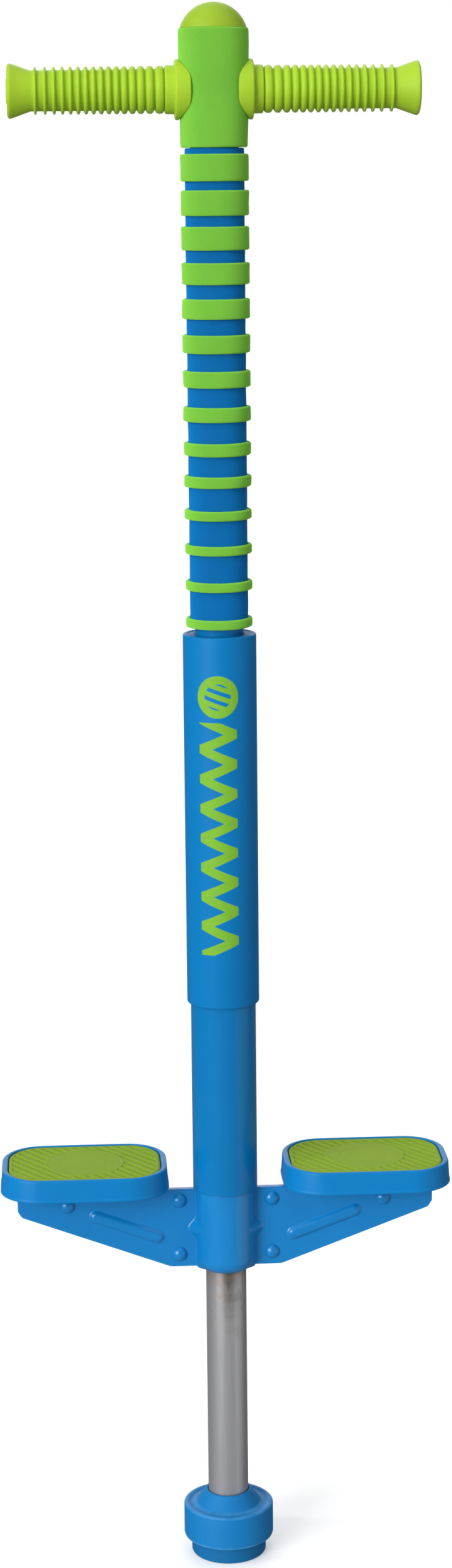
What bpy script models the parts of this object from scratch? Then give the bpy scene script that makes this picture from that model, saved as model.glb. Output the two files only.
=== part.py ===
"""A child's pogo stick, as separate pieces in metres.

The stem stands on +Z with the foot's sole at z = 0. The rider faces +Y, the handlebar and the
footrests run along X. Sizes below are in millimetres.
"""

from math import asin, cos, pi, radians, sin

import bmesh
import bpy
from mathutils import Matrix

MM = 0.001
GAP = 0.3  # clearance between pieces that touch
SIDES = 24  # sides of the turned pieces

# Heights above the ground
FOOT_TOP = 37.4
PLUNGER_BASE = 10.6
NECK_BASE = 171.0
BARREL_SHOULDER = 213.9
BUMPER_BASE = 219.9
COLLAR_BASE = 229.3
COLLAR_HEIGHT = 10.0
PLUNGER_TOP = 250.0
FOLLOWER_TOP = 256.3
SLEEVE_BASE = 320.0
SEAT_BASE = 479.0
SEAT_PIN_Z = 488.0
STEM_BASE = 494.0
REDUCER_BASE = 497.0
BARREL_TOP = 519.0
SLEEVE_TOP = 521.4
FOAM_BASE = 525.6
HEAD_BASE = 772.6
BAR_Z = 801.6
HEAD_TOP = 832.0
TOTAL = 845.0

# Radii
PLUNGER_R = 11.1
PLUNGER_WALL = 1.5
NECK_R = 14.4
BARREL_R = 17.6
BARREL_WALL = 1.5
SLEEVE_R = 19.5
STEM_R = 12.7
STEM_WALL = 1.2
FOAM_R = 15.3
RING_R = 17.6
HEAD_R = 18.0
DOME_R = 18.0
BAR_R = 8.0
BAR_WALL = 1.5
FOOT_R = 24.9
SOLE_R = 20.7
GUIDE_R = BARREL_R - BARREL_WALL - 0.5  # what runs or sits inside the barrel
SPIGOT_R = 10.6  # centres the spring
SPRING_R = 13.2  # to the wire's centre
WIRE_R = 2.0
PIN_R = 2.0
COLLAR_R = 15.0
COLLAR_PIN_R = 1.5

# Foam rings, counted from the top
RING_COUNT = 14
FIRST_RING_Z = 762.5
RING_PITCH = 17.75
RING_PITCH_GROWTH = 0.025
RING_HEIGHT = 13.7
RING_HEIGHT_DROP = 0.87
RING_HEIGHT_LEAST = 4.9
RING_LIFT = 2.3  # how high the four rings above the last one sit

# Grips
GRIP_END = 105.8
GRIP_BODY_R = 11.9
GRIP_FLARE_R = 13.85
GRIP_FLANGE_R = 15.2
GRIP_FLANGE = (12.2, 20.0)  # from the stem's axis; the head foam's curve is cut out of it

# Footrest bracket
PLATE = 1.5
PLATE_HALF_GAP = 0.15
CLAMP_R = NECK_R + GAP
BRACKET_TOP = 213.6
BRACKET_BASE = 169.0
BRACKET_HALF_LENGTH = 114.0
WING_START = (30.5, BRACKET_BASE)  # x and z, where the lower edge starts to slope up
WING_END = (112.0, 199.8)
LIP_BASE = 167.8
LIP_R = 11.6  # the turned-in lower lip runs round the plunger
TAB_TOP = 217.4
TAB_X = (42.0, 108.0)
TAB_DEPTH = 20.0
RIVETS = [(25.4, 207.0), (25.5, 176.1), (86.8, 205.4)]  # x and z, on each side
RIVET_R = 2.0
RIVET_HEAD_R = 4.0
SCREWS = [(62.0, -11.0), (92.0, 11.0)]  # x and y, on each side
SCREW_R = 2.0

# Footrests
PEDAL_X = 77.0
PEDAL_LENGTH = 91.0
PEDAL_DEPTH = 62.0
PEDAL_CORNER = 22.0
PEDAL_DRAFT = 0.8
PEDAL_RIM = 3.5
PEDAL_BASE = TAB_TOP + GAP
PEDAL_TOP = 230.2
TREAD_TOP = 230.1
DECK_TOP = 225.5
DECK_THICKNESS = 3.0
RIB = 3.0  # thickness of the ribs under the deck
RIB_X = 15.0
BOSS_R = 5.2
SCREW_TIP = 223.9

# Main spring
SPRING_TURNS = 19
SPRING_END_PITCH = 4.5
SPRING_STEPS = 10  # points on each turn

COLOURS = {  # base colour, roughness, metallic
    "blue_paint": ((0.012, 0.22, 0.56), 0.30, 0.0),
    "blue_plastic": ((0.012, 0.21, 0.53), 0.38, 0.0),
    "blue_foam": ((0.006, 0.13, 0.44), 0.75, 0.0),
    "green_foam": ((0.17, 0.50, 0.06), 0.85, 0.0),
    "lime_vinyl": ((0.42, 0.64, 0.03), 0.45, 0.0),
    "tread_green": ((0.26, 0.45, 0.03), 0.60, 0.0),
    "steel": ((0.42, 0.42, 0.44), 0.35, 1.0),
    "spring_steel": ((0.20, 0.20, 0.21), 0.40, 1.0),
    "blue_rubber": ((0.008, 0.20, 0.56), 0.60, 0.0),
    "black_rubber": ((0.03, 0.03, 0.03), 0.80, 0.0),
    "nylon": ((0.75, 0.74, 0.70), 0.50, 0.0),
}


def material(name):
    if name in bpy.data.materials:
        return bpy.data.materials[name]
    colour, roughness, metallic = COLOURS[name]
    made = bpy.data.materials.new(name)
    made.use_nodes = True
    shader = made.node_tree.nodes["Principled BSDF"]
    shader.inputs["Base Color"].default_value = (*colour, 1.0)
    shader.inputs["Roughness"].default_value = roughness
    shader.inputs["Metallic"].default_value = metallic
    made.diffuse_color = (*colour, 1.0)
    return made


def finish(bm, name, paint, helper=False):
    """Turn a bmesh in millimetres into a smooth-shaded object in metres."""
    bmesh.ops.remove_doubles(bm, verts=bm.verts, dist=1e-4)
    bmesh.ops.recalc_face_normals(bm, faces=bm.faces)
    bmesh.ops.scale(bm, vec=(MM, MM, MM), verts=bm.verts)
    mesh = bpy.data.meshes.new(name)
    bm.to_mesh(mesh)
    bm.free()
    mesh.shade_smooth()
    mesh.set_sharp_from_angle(angle=radians(35))
    piece = bpy.data.objects.new(name, mesh)
    bpy.context.scene.collection.objects.link(piece)
    if paint:
        mesh.materials.append(material(paint))
    if helper:
        piece.hide_render = True
        piece.display_type = "WIRE"
    return piece


def turned(name, profile, paint, sides=SIDES, place=None, helper=False):
    """A turned piece: profile is (radius, height); one that ends on the axis stays open there."""
    bm = bmesh.new()
    points = [bm.verts.new((radius, 0.0, height)) for radius, height in profile]
    edges = [bm.edges.new(pair) for pair in zip(points, points[1:])]
    if profile[0][0] > 0:
        edges.append(bm.edges.new((points[-1], points[0])))
    bmesh.ops.spin(bm, geom=points + edges, cent=(0, 0, 0), axis=(0, 0, 1), angle=2 * pi,
                   steps=sides, use_merge=True)
    if place:
        bmesh.ops.transform(bm, matrix=place, verts=bm.verts)
    return finish(bm, name, paint, helper)


def tube(name, low, high, inner, outer, paint):
    return turned(name, [(inner, low), (outer, low), (outer, high), (inner, high)], paint)


def rod_profile(low, high, radius):
    return [(0, low), (radius, low), (radius, high), (0, high)]


def lofted(name, loops, paint, helper=False):
    """Loops of (x, y, z) joined in order, with the first and the last closed by a face."""
    bm = bmesh.new()
    rings = [[bm.verts.new(point) for point in loop] for loop in loops]
    count = len(rings[0])
    for lower, upper in zip(rings, rings[1:]):
        for i in range(count):
            j = (i + 1) % count
            bm.faces.new((lower[i], lower[j], upper[j], upper[i]))
    bm.faces.new(rings[0])
    bm.faces.new(rings[-1])
    return finish(bm, name, paint, helper)


def box(name, low, high):
    """A cutter or an addition, given by two corners."""
    corners = [(low[0], low[1]), (high[0], low[1]), (high[0], high[1]), (low[0], high[1])]
    loops = [[(x, y, z) for x, y in corners] for z in (low[2], high[2])]
    return lofted(name, loops, None, helper=True)


def along(axis, x=0.0, y=0.0, z=0.0):
    """The placing that lays a piece's own +Z along a named axis, at a point."""
    turn = {"x": Matrix.Rotation(pi / 2, 4, "Y"), "y": Matrix.Rotation(-pi / 2, 4, "X"),
            "z": Matrix.Identity(4)}[axis]
    return Matrix.Translation((x, y, z)) @ turn


def combine(piece, other, operation):
    made = piece.modifiers.new(f"{operation.lower()} {other.name}", "BOOLEAN")
    made.operation = operation
    made.solver = "EXACT"
    made.object = other


def drill(piece, axis, radius, low, high, x=0.0, y=0.0, z=0.0, sides=24):
    """A round hole along an axis, from low to high past the given point."""
    name = f"cut_{piece.name}_{len(piece.modifiers)}"
    cutter = turned(name, rod_profile(low, high, radius), None, sides, along(axis, x, y, z), True)
    combine(piece, cutter, "DIFFERENCE")


def rounded_outline(length, depth, corner, x, z, corner_steps=6):
    """A rectangle with round corners about (x, 0), at one height."""
    half_x, half_y = length / 2 - corner, depth / 2 - corner
    points = []
    for quarter, (side_x, side_y) in enumerate([(1, 1), (-1, 1), (-1, -1), (1, -1)]):
        for step in range(corner_steps + 1):
            angle = (quarter + step / corner_steps) * pi / 2
            points.append((x + side_x * half_x + corner * cos(angle),
                           side_y * half_y + corner * sin(angle), z))
    return points


def stem():
    upper = tube("upper_tube", STEM_BASE, HEAD_TOP - 0.1, STEM_R - STEM_WALL, STEM_R, "blue_paint")
    drill(upper, "x", BAR_R + GAP, -20, 20, z=BAR_Z)
    drill(upper, "y", PIN_R + GAP, -20, 20, z=BAR_Z, sides=12)
    neck_in = NECK_R - BARREL_WALL
    barrel_in = BARREL_R - BARREL_WALL
    step = BARREL_SHOULDER + BARREL_WALL
    barrel = turned("barrel_tube", [
        (neck_in, NECK_BASE), (NECK_R, NECK_BASE), (NECK_R, BARREL_SHOULDER),
        (BARREL_R - 0.6, BARREL_SHOULDER), (BARREL_R, BARREL_SHOULDER + 0.6),
        (BARREL_R, BARREL_TOP), (barrel_in, BARREL_TOP), (barrel_in, step), (neck_in, step)],
        "blue_paint")
    drill(barrel, "y", PIN_R + GAP, -20, 20, z=SEAT_PIN_Z, sides=12)
    tube("reducer_ring", REDUCER_BASE, BARREL_TOP, STEM_R + GAP, barrel_in - GAP, "steel")
    sleeve_in = BARREL_R + GAP
    lip = SLEEVE_TOP - 1.8
    turned("barrel_sleeve", [
        (sleeve_in, SLEEVE_BASE), (SLEEVE_R - 0.4, SLEEVE_BASE), (SLEEVE_R, SLEEVE_BASE + 0.8),
        (SLEEVE_R, SLEEVE_TOP - 0.9), (SLEEVE_R - 0.9, SLEEVE_TOP), (STEM_R + GAP, SLEEVE_TOP),
        (STEM_R + GAP, lip), (sleeve_in, lip)], "blue_plastic")


def ring_height(index):
    return max(RING_HEIGHT_LEAST, RING_HEIGHT - RING_HEIGHT_DROP * index)


def ring_centre(index):
    lift = RING_LIFT * sin(pi * (index - 8) / 5) if index > 8 else 0
    return FIRST_RING_Z - RING_PITCH * index - RING_PITCH_GROWTH * index**2 + lift


def foam():
    tube("upper_foam", FOAM_BASE, HEAD_BASE - GAP, STEM_R + GAP, FOAM_R, "blue_foam")
    for index in range(RING_COUNT):
        middle, half = ring_centre(index), ring_height(index) / 2
        tube(f"foam_ring_{index + 1:02d}", middle - half, middle + half, FOAM_R + GAP, RING_R,
             "green_foam")
    head = turned("head_foam", [
        (STEM_R + GAP, HEAD_BASE), (HEAD_R - 0.7, HEAD_BASE), (HEAD_R, HEAD_BASE + 6),
        (HEAD_R, HEAD_TOP - 0.8), (HEAD_R - 0.8, HEAD_TOP), (STEM_R + GAP, HEAD_TOP)], "green_foam")
    drill(head, "x", BAR_R + GAP, -30, 30, z=BAR_Z)


def dome_cap():
    centre = TOTAL - DOME_R
    base = HEAD_TOP + GAP
    first = asin((base - centre) / DOME_R)
    steps = 8
    arc = [first + (pi / 2 - first) * step / steps for step in range(steps)]
    stem_r = STEM_R - STEM_WALL - GAP
    profile = [(0, BAR_Z + BAR_R + 4), (stem_r, BAR_Z + BAR_R + 4), (stem_r, base)]
    profile += [(DOME_R * cos(angle), centre + DOME_R * sin(angle)) for angle in arc]
    turned("dome_cap", profile + [(0, TOTAL)], "lime_vinyl")


def handlebar():
    reach = GRIP_END - 1.8
    ends = [(BAR_R - BAR_WALL, -reach), (BAR_R, -reach), (BAR_R, reach), (BAR_R - BAR_WALL, reach)]
    bar = turned("handlebar", ends, "steel", 24, along("x", z=BAR_Z))
    drill(bar, "y", PIN_R + GAP, -20, 20, z=BAR_Z, sides=12)
    turned("handlebar_pin", rod_profile(-STEM_R + 0.1, STEM_R - 0.1, PIN_R), "steel", 12,
           along("y", z=BAR_Z))


def grip(name, side):
    """A closed-ended grip whose inner flange is hollowed to sit on the head foam."""
    bore = BAR_R + GAP
    flange_start, flange_end = GRIP_FLANGE
    closed = [(0, GRIP_END), (0, GRIP_END - 1.5), (bore, GRIP_END - 1.5)]
    profile = [
        (bore, flange_start), (GRIP_FLANGE_R, flange_start), (GRIP_FLANGE_R, flange_end - 0.8),
        (GRIP_FLANGE_R - 0.8, flange_end), (GRIP_BODY_R + 0.6, flange_end + 0.4),
        (GRIP_BODY_R, flange_end + 1.4), (GRIP_BODY_R, 91.0), (GRIP_FLARE_R - 0.9, 94.5),
        (GRIP_FLARE_R, 97.0), (GRIP_FLARE_R, GRIP_END - 2.0), (GRIP_FLARE_R - 1.8, GRIP_END)]
    place = along("x", z=BAR_Z) if side > 0 else along("x", z=BAR_Z) @ Matrix.Rotation(pi, 4, "X")
    piece = turned(name, closed[1:] + profile + closed[:1], "lime_vinyl", SIDES, place)
    drill(piece, "z", HEAD_R + GAP, -30, 30, z=BAR_Z)


def lip(name, facing):
    """Half of the turned-in lower lip of the channel."""
    outer, inner = CLAMP_R + PLATE - 0.2, CLAMP_R + 0.3
    ring = turned(f"lip_{name}", [
        (LIP_R, LIP_BASE), (outer - 2.8, LIP_BASE), (outer, BRACKET_BASE + 0.8),
        (outer, BRACKET_BASE + 2.2), (inner, BRACKET_BASE + 2.2), (inner, BRACKET_BASE + 1.4),
        (inner - 2, LIP_BASE + 1.4), (LIP_R, LIP_BASE + 1.4)], None, 32, helper=True)
    near, far = sorted((facing * PLATE_HALF_GAP, facing * 20.0))
    half = box(f"half_{name}", (-20.0, near, LIP_BASE - 5), (20.0, far, BRACKET_BASE + 5))
    combine(ring, half, "INTERSECT")
    return ring


def bracket(name, facing):
    """One stamping: a half-round channel on the neck, two tapered wings and two bent tabs."""
    inner, outer = PLATE_HALF_GAP, PLATE_HALF_GAP + PLATE
    reach, arc_steps = BRACKET_HALF_LENGTH, 16

    def half_round(radius, edge):
        start = asin(edge / radius)
        sweep = pi - 2 * start
        angles = [start + sweep * step / arc_steps for step in range(arc_steps + 1)]
        return [(-radius * cos(angle), radius * sin(angle)) for angle in angles]

    beyond = reach + 5
    plan = [(-beyond, inner), *half_round(CLAMP_R, inner), (beyond, inner), (beyond, outer),
            *reversed(half_round(CLAMP_R + PLATE, outer)), (-beyond, outer)]
    levels = (BRACKET_BASE - 5, TAB_TOP + 5)
    piece = lofted(name, [[(x, facing * y, z) for x, y in plan] for z in levels], "blue_paint")
    tab_start, tab_end = TAB_X
    right = [WING_START, WING_END, (reach, WING_END[1] + 2.5), (reach, BRACKET_TOP),
             (tab_end + 2, BRACKET_TOP), (tab_end, TAB_TOP), (tab_start, TAB_TOP),
             (tab_start - 2, BRACKET_TOP)]
    face = [*((-x, z) for x, z in reversed(right)), *right]
    front = lofted(f"outline_{name}", [[(x, y, z) for x, z in face] for y in (-30.0, 30.0)], None,
                   helper=True)
    combine(piece, front, "INTERSECT")
    combine(piece, lip(name, facing), "UNION")
    tab_y = sorted((facing * (inner + 0.5), facing * TAB_DEPTH))
    for side in (-1, 1):
        tab_x = sorted((side * tab_start, side * tab_end))
        tab = box(f"tab_{name}_{side}", (tab_x[0], tab_y[0], TAB_TOP - PLATE),
                  (tab_x[1], tab_y[1], TAB_TOP))
        combine(piece, tab, "UNION")
        for x, z in RIVETS:
            drill(piece, "y", RIVET_R + GAP, -10, 10, side * x, 0, z, 12)
        for x, y in SCREWS:
            if y * facing > 0:
                drill(piece, "z", SCREW_R + GAP, -5, 5, side * x, y, TAB_TOP, 12)


def footrest_bracket():
    bracket("bracket_front", -1)
    bracket("bracket_rear", 1)


def rivets():
    face = PLATE_HALF_GAP + PLATE + GAP
    crown = [(RIVET_HEAD_R, face + 0.3), (3.2, face + 1.4), (1.7, face + 2.0), (0, face + 2.2)]
    half = [(RIVET_R, face), (RIVET_HEAD_R, face)]
    profile = [(r, -y) for r, y in reversed(crown)] + [(r, -y) for r, y in reversed(half)]
    profile += half + crown
    for side, word in ((-1, "left"), (1, "right")):
        for place, (x, z) in zip(("upper", "lower", "outer"), RIVETS):
            turned(f"rivet_{place}_{word}", profile, "blue_paint", 12, along("y", side * x, 0, z))


def pedal(word, side):
    x = side * PEDAL_X
    inset = 2 * PEDAL_RIM

    def outline(grow, z):
        return rounded_outline(PEDAL_LENGTH + grow, PEDAL_DEPTH + grow, PEDAL_CORNER + grow / 2, x, z)

    deck_base = DECK_TOP - DECK_THICKNESS
    tray = lofted(f"pedal_{word}", [
        outline(-inset, deck_base), outline(-inset, PEDAL_BASE),
        outline(PEDAL_DRAFT - 1.2, PEDAL_BASE), outline(PEDAL_DRAFT, PEDAL_BASE + 0.6),
        outline(-PEDAL_DRAFT, PEDAL_TOP - 0.8), outline(-PEDAL_DRAFT - 1.2, PEDAL_TOP),
        outline(-inset + 0.6, PEDAL_TOP), outline(-inset, PEDAL_TOP - 0.4),
        outline(-inset, DECK_TOP)], "blue_plastic")
    half_x, half_y = PEDAL_LENGTH / 2 - RIB, PEDAL_DEPTH / 2 - RIB
    deck_inside = deck_base + 1
    web = box(f"web_{word}", (x - half_x, -RIB / 2, PEDAL_BASE), (x + half_x, RIB / 2, deck_inside))
    combine(tray, web, "UNION")
    for rib_x in (x - RIB_X, x + RIB_X):
        rib = box(f"rib_{word}_{rib_x:.0f}", (rib_x - RIB / 2, -half_y, PEDAL_BASE),
                  (rib_x + RIB / 2, half_y, deck_inside))
        combine(tray, rib, "UNION")
    for screw_x, screw_y in SCREWS:
        boss = turned(f"boss_{word}_{screw_x:.0f}", rod_profile(PEDAL_BASE, deck_inside, BOSS_R),
                      None, 12, along("z", side * screw_x, screw_y), True)
        combine(tray, boss, "UNION")
    for screw_x, screw_y in SCREWS:
        drill(tray, "z", SCREW_R + GAP, PEDAL_BASE - 10, SCREW_TIP + GAP, side * screw_x, screw_y,
              sides=12)
    tread_inset = inset + 2 * GAP
    lofted(f"tread_{word}", [
        outline(-tread_inset, DECK_TOP + GAP), outline(-tread_inset, TREAD_TOP - 0.5),
        outline(-tread_inset - 1, TREAD_TOP)], "tread_green")
    head = TAB_TOP - PLATE - GAP
    screw = [(0, head - 2.2), (2.6, head - 2.1), (3.8, head - 1.2), (3.8, head),
             (SCREW_R, head), (SCREW_R, SCREW_TIP), (0, SCREW_TIP)]
    for place, (screw_x, screw_y) in zip(("inner", "outer"), SCREWS):
        turned(f"pedal_screw_{word}_{place}", screw, "steel", 12,
               along("z", side * screw_x, screw_y))


def bush_and_stops():
    neck_in = NECK_R - BARREL_WALL
    step = BARREL_SHOULDER + BARREL_WALL
    running = PLUNGER_R + GAP
    turned("lower_bush", [
        (running, NECK_BASE + GAP), (neck_in - GAP, NECK_BASE + GAP), (neck_in - GAP, step + 0.5),
        (GUIDE_R, step + 0.5), (GUIDE_R, BUMPER_BASE - GAP), (running, BUMPER_BASE - GAP)], "nylon")
    tube("rebound_bumper", BUMPER_BASE, COLLAR_BASE - GAP, running, GUIDE_R - GAP, "black_rubber")
    seat_top = SEAT_PIN_Z - PIN_R - GAP
    turned("spring_seat", [
        (0, SEAT_BASE - 10), (SPIGOT_R - 1, SEAT_BASE - 10), (SPIGOT_R, SEAT_BASE - 9),
        (SPIGOT_R, SEAT_BASE), (GUIDE_R, SEAT_BASE), (GUIDE_R, seat_top), (0, seat_top)], "steel")
    turned("seat_pin", rod_profile(-BARREL_R + 0.1, BARREL_R - 0.1, PIN_R), "steel", 12,
           along("y", z=SEAT_PIN_Z))


def main_spring():
    """A compression spring with one closed turn at each end."""
    low = FOLLOWER_TOP + GAP + WIRE_R
    high = SEAT_BASE - GAP - WIRE_R
    pitch = (high - low - 2 * SPRING_END_PITCH) / (SPRING_TURNS - 2)
    coil = bpy.data.curves.new("main_spring", "CURVE")
    coil.dimensions = "3D"
    coil.bevel_depth = WIRE_R * MM
    coil.bevel_resolution = 1
    coil.use_fill_caps = True
    line = coil.splines.new("POLY")
    count = SPRING_TURNS * SPRING_STEPS + 1
    line.points.add(count - 1)
    for index in range(count):
        turn = index / SPRING_STEPS
        active = min(max(turn - 1, 0), SPRING_TURNS - 2)
        z = low + SPRING_END_PITCH * (turn - active) + pitch * active
        angle = 2 * pi * turn
        line.points[index].co = (SPRING_R * cos(angle) * MM, SPRING_R * sin(angle) * MM, z * MM, 1)
    coil.materials.append(material("spring_steel"))
    piece = bpy.data.objects.new("main_spring", coil)
    bpy.context.scene.collection.objects.link(piece)


def plunger():
    """The sliding group: follower, tube, stop collar with its pin, foot and washer."""
    inner = PLUNGER_R - PLUNGER_WALL
    pin_z = COLLAR_BASE + COLLAR_HEIGHT / 2
    rod = tube("plunger_tube", PLUNGER_BASE, PLUNGER_TOP, inner, PLUNGER_R, "steel")
    collar = tube("stop_collar", COLLAR_BASE, COLLAR_BASE + COLLAR_HEIGHT, PLUNGER_R + GAP,
                  COLLAR_R, "steel")
    for drilled in (rod, collar):
        drill(drilled, "y", COLLAR_PIN_R + GAP, -20, 20, z=pin_z, sides=12)
    turned("collar_pin", rod_profile(0.2 - COLLAR_R, COLLAR_R - 0.2, COLLAR_PIN_R), "steel", 12,
           along("y", z=pin_z))
    tail = PLUNGER_TOP - 9.5
    turned("spring_follower", [
        (0, tail), (inner - 0.8, tail), (inner - GAP, tail + 1), (inner - GAP, PLUNGER_TOP + GAP),
        (GUIDE_R, PLUNGER_TOP + GAP), (GUIDE_R, FOLLOWER_TOP), (SPIGOT_R, FOLLOWER_TOP),
        (SPIGOT_R, FOLLOWER_TOP + 9), (SPIGOT_R - 1, FOLLOWER_TOP + 10), (0, FOLLOWER_TOP + 10)],
        "nylon")
    bore = PLUNGER_R + GAP
    floor = PLUNGER_BASE - 2.6
    turned("rubber_foot", [
        (0, 0), (SOLE_R - 1, 0), (SOLE_R, 1), (SOLE_R, 10.2), (FOOT_R - 0.7, 10.2), (FOOT_R, 11.2),
        (FOOT_R, 28.0), (23.6, 29.3), (20.6, 28.7), (17.4, 30.2), (14.6, 33.8),
        (12.7, FOOT_TOP), (bore, FOOT_TOP), (bore, floor), (0, floor)], "blue_rubber", 32)
    tube("foot_washer", floor + GAP, PLUNGER_BASE - GAP, 4.0, PLUNGER_R - 0.2, "steel")


def main():
    for old in list(bpy.data.objects):
        bpy.data.objects.remove(old)
    stem()
    foam()
    dome_cap()
    handlebar()
    grip("grip_right", 1)
    grip("grip_left", -1)
    footrest_bracket()
    rivets()
    pedal("right", 1)
    pedal("left", -1)
    bush_and_stops()
    main_spring()
    plunger()


main()
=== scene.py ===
"""The looks of the pogo stick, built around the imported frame. Sizes are in millimetres."""

from math import asin, atan2, cos, hypot, pi, radians, sin, sqrt, tan

import bmesh
import bpy
from mathutils import Matrix, Vector, noise


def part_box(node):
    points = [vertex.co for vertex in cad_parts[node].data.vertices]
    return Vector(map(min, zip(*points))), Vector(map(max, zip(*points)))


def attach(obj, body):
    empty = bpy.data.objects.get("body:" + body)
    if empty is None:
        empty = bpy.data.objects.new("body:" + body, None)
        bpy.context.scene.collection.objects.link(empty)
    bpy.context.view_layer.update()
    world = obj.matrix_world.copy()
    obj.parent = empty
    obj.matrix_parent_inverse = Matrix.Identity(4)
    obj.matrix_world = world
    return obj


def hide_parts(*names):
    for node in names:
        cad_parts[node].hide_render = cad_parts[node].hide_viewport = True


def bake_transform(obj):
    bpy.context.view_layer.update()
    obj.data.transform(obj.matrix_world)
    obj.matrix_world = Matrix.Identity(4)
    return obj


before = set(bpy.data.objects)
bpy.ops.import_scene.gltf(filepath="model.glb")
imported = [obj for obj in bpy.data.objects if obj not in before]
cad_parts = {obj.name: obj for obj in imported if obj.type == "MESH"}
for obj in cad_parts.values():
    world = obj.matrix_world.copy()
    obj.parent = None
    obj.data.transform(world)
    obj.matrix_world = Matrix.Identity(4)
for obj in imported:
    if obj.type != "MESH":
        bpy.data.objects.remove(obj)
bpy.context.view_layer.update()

MM = 0.001
ROUND = 144  # sides of a turned piece on the stem
GAP = 0.3  # the clearance that the frame keeps between pieces
CRISP = radians(40)  # edges that turn by more than this aren't smoothed
X, Y, Z = 0, 1, 2


def span(node, axis):
    """The lowest and highest place of a CAD node along an axis, in millimetres."""
    low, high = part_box(node)
    return low[axis] / MM, high[axis] / MM


def middle(node, axis=Z):
    """The middle of a CAD node along an axis, in millimetres."""
    return sum(span(node, axis)) / 2


BAR_Z = middle("handlebar")
BAR_REACH = span("handlebar", X)[1]
GRIP_END = span("grip_right", X)[1]
TOTAL = span("dome_cap", Z)[1]
HEAD_BASE, HEAD_TOP = span("head_foam", Z)
HEAD_R = span("head_foam", X)[1]
STEM_BASE, STEM_TOP = span("upper_tube", Z)
STEM_R = span("upper_tube", X)[1]
FOAM_BASE, FOAM_TOP = span("upper_foam", Z)
FOAM_R = span("upper_foam", X)[1]
RING_R = span("foam_ring_01", X)[1]
SLEEVE_BASE, SLEEVE_TOP = span("barrel_sleeve", Z)
SLEEVE_R = span("barrel_sleeve", X)[1]
NECK_BASE, BARREL_TOP = span("barrel_tube", Z)
BARREL_R = span("barrel_tube", X)[1]
TAB_TOP = span("bracket_front", Z)[1]
BRACKET_REACH = span("bracket_front", X)[1]
TAB_DEPTH = -span("bracket_front", Y)[0]
PEDAL_BASE, PEDAL_TOP = span("pedal_right", Z)
PEDAL_X = middle("pedal_right", X)
PEDAL_LENGTH = span("pedal_right", X)[1] - span("pedal_right", X)[0]
PEDAL_DEPTH = 2 * span("pedal_right", Y)[1]
TREAD_BASE, TREAD_TOP = span("tread_right", Z)
PLUNGER_BASE, PLUNGER_TOP = span("plunger_tube", Z)
PLUNGER_R = span("plunger_tube", X)[1]
FOOT_TOP = span("rubber_foot", Z)[1]
FOOT_R = span("rubber_foot", X)[1]

TUBE_WALL = 1.5
STEM_WALL = 1.2
BARREL_IN = BARREL_R - TUBE_WALL
NECK_R = 14.4
SHOULDER = 213.9  # the barrel's lower edge
WING_TOP = 213.6
WING_BASE = 169.0
BAR_R = 8.0
PIN_R = 2.0  # of the handlebar's pin and the seat's
COLLAR_PIN_R = 1.5
RINGS = 14


# Mesh tools


def rounded(outline, steps=6):
    """The outline with each corner that names a radius turned into an arc."""
    most = 0.48  # the share of a side that one corner may take
    made = []
    for index, point in enumerate(outline):
        corner = Vector(point[:2])
        if len(point) < 3:
            made.append(corner)
            continue
        back = Vector(outline[index - 1][:2]) - corner
        ahead = Vector(outline[(index + 1) % len(outline)][:2]) - corner
        half = back.angle(ahead) / 2
        reach = min(point[2] / tan(half), most * back.length, most * ahead.length)
        radius = reach * tan(half)
        centre = corner + (back.normalized() + ahead.normalized()).normalized() * radius / sin(half)
        start = corner + back.normalized() * reach - centre
        end = corner + ahead.normalized() * reach - centre
        first, last = atan2(start.y, start.x), atan2(end.y, end.x)
        sweep = (last - first + pi) % (2 * pi) - pi
        made += [centre + radius * Vector((cos(first + sweep * t / steps), sin(first + sweep * t / steps)))
                 for t in range(steps + 1)]
    return made


def smooth_faces(mesh):
    """Shade the mesh smooth, apart from its crisp edges."""
    mesh.shade_smooth()
    mesh.set_sharp_from_angle(angle=CRISP)


def finish_mesh(bm, name):
    """A smooth-shaded object in metres from a bmesh in millimetres."""
    bmesh.ops.remove_doubles(bm, verts=bm.verts, dist=1e-5)
    bmesh.ops.recalc_face_normals(bm, faces=bm.faces)
    bmesh.ops.scale(bm, vec=(MM, MM, MM), verts=bm.verts)
    mesh = bpy.data.meshes.new(name)
    bm.to_mesh(mesh)
    bm.free()
    smooth_faces(mesh)
    piece = bpy.data.objects.new(name, mesh)
    bpy.context.scene.collection.objects.link(piece)
    return piece


def skin(bm, rings, wrap=True, caps=False):
    """Faces between rings of points; a ring of one point is a pole."""
    rings = [[bm.verts.new(point) for point in ring] for ring in rings]
    pairs = list(zip(rings, rings[1:])) + ([(rings[-1], rings[0])] if wrap else [])
    for lower, upper in pairs:
        count = max(len(lower), len(upper))
        for i in range(count):
            j = (i + 1) % count
            corners = [lower[i % len(lower)], lower[j % len(lower)],
                       upper[j % len(upper)], upper[i % len(upper)]]
            bm.faces.new(list(dict.fromkeys(corners)))
    if caps:
        bm.faces.new(rings[0])
        bm.faces.new(rings[-1])


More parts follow.
